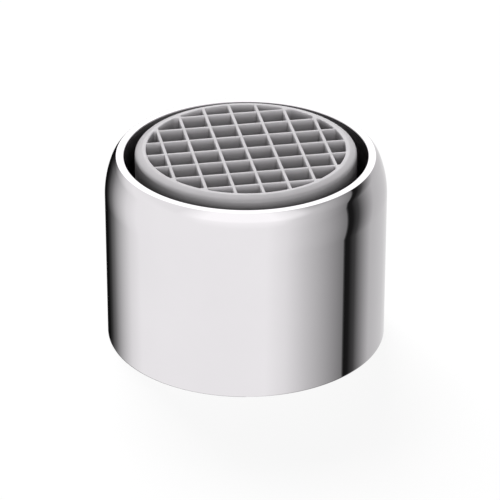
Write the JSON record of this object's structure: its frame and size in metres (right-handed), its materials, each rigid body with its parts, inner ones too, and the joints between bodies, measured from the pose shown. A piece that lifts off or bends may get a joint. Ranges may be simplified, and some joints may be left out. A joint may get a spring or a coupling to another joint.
{
  "type": "tap aerator",
  "caption": "Tap aerator with an internal thread: a round chromed housing holding a moulded insert with a square outlet grid, strainer, flow regulator, jet splitter, screens and washer.",
  "frame": {"origin": "centre of the housing's inlet rim, which the part stands on", "axes": "+Z along the axis from the inlet towards the outlet grid; +X to the right in the picture and +Y away from its camera; the outlet grid is turned 10.2 degrees about +Z from these"},
  "size_m": [0.024, 0.024, 0.0174],
  "materials": {
    "chromed_brass": "bright polished chrome plating",
    "seal_rubber": "matt moulded rubber",
    "grey_plastic": "satin moulded acetal, light grey",
    "sieve_plastic": "satin moulded plastic, off-white",
    "regulator_plastic": "satin moulded plastic, green",
    "o_ring_rubber": "matt moulded elastomer",
    "splitter_plastic": "satin moulded plastic, dark grey",
    "wire": "drawn stainless wire",
    "spacer_plastic": "satin moulded plastic"
  },
  "bodies": {
    "root": {"housing": "chromed_brass", "sealing_washer": "seal_rubber", "insert_shell": "grey_plastic", "strainer": "sieve_plastic", "regulator_body": "regulator_plastic", "regulator_o_ring": "o_ring_rubber", "jet_splitter": "splitter_plastic", "mixing_screen_1": "wire", "mixing_screen_2": "wire", "mixing_screen_3": "wire", "spacer_ring_1": "spacer_plastic", "spacer_ring_2": "spacer_plastic"}
  },
  "joints": []
}
